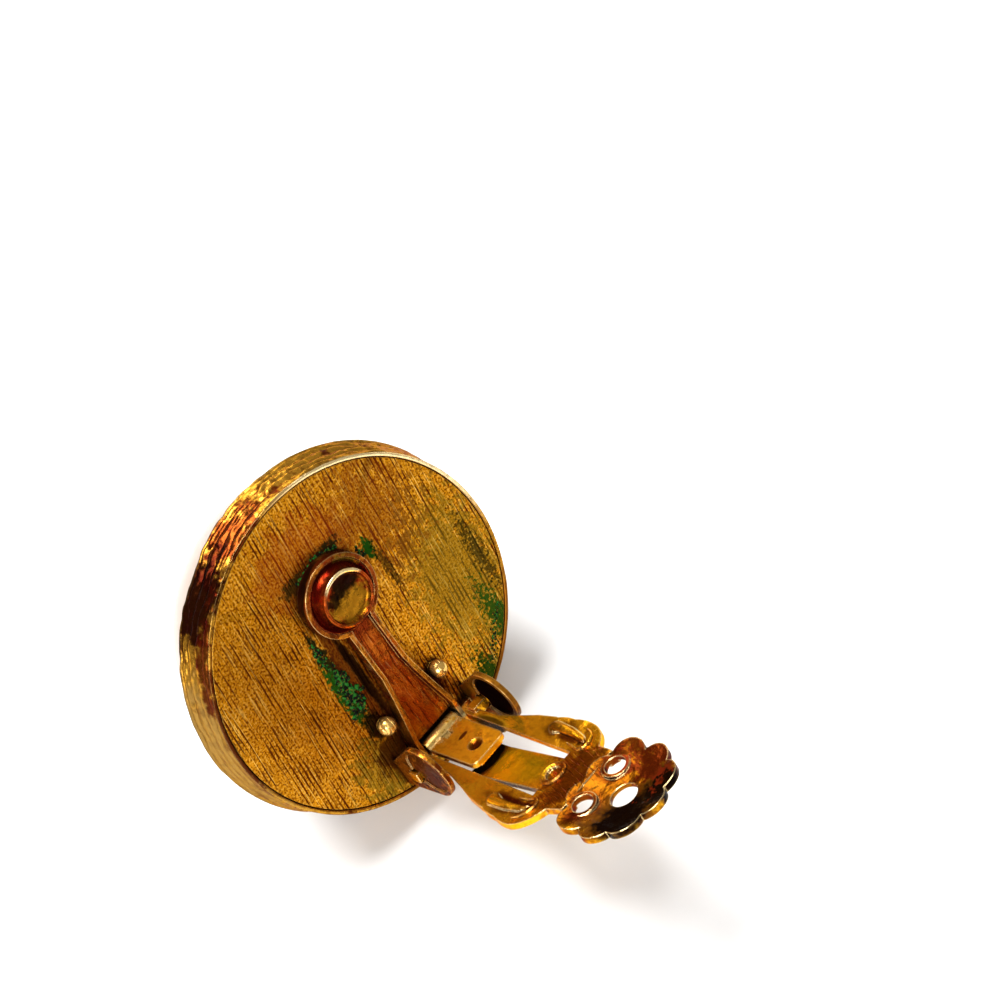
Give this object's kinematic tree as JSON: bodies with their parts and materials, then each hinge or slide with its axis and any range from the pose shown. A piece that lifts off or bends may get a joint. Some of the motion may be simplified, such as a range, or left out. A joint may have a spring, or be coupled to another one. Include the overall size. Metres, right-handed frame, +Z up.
{
  "type": "button earring",
  "caption": "Round domed button earring with a ridged metal band, a brushed back plate and a hinged clip whose pierced flower paddle is open.",
  "frame": {"origin": "centre of the bounding box's floor, with the earring resting on its dome and on the front edge of its band", "axes": "+X the way the open paddle points, +Y across the clip, +Z up"},
  "size_m": [0.0388, 0.0256, 0.0234],
  "materials": {
    "pearl": "smooth cream pearl-like gloss",
    "band_gilt": "worn gilt, textured, tarnished dark in its hollows",
    "plate_gilt": "finely brushed gilt, tarnished, with green corrosion beside the clip",
    "clip_gilt": "polished gilt, worn and tarnished"
  },
  "bodies": {
    "earring": {"cabochon": "pearl", "setting_band": "band_gilt", "back_plate": "plate_gilt", "rivet": "clip_gilt", "clip_bracket": "clip_gilt"},
    "link": {"spring_link": "clip_gilt"},
    "lever": {"paddle": "clip_gilt"}
  },
  "joints": [
    {"name": "paddle_hinge", "type": "hinge", "parent": "earring", "child": "lever", "pos_m": [0.00036, 0, 0.00523], "axis": [0, -1, 0], "range_deg": [0, 84]},
    {"name": "link_hinge", "type": "hinge", "parent": "earring", "child": "link", "pos_m": [-0.00076, 0, 0.00445], "axis": [0, -1, 0], "range_deg": [0, 63]}
  ],
  "couplings": [
    {"joint": "link_hinge", "follows": "paddle_hinge", "ratio": 0.75}
  ]
}
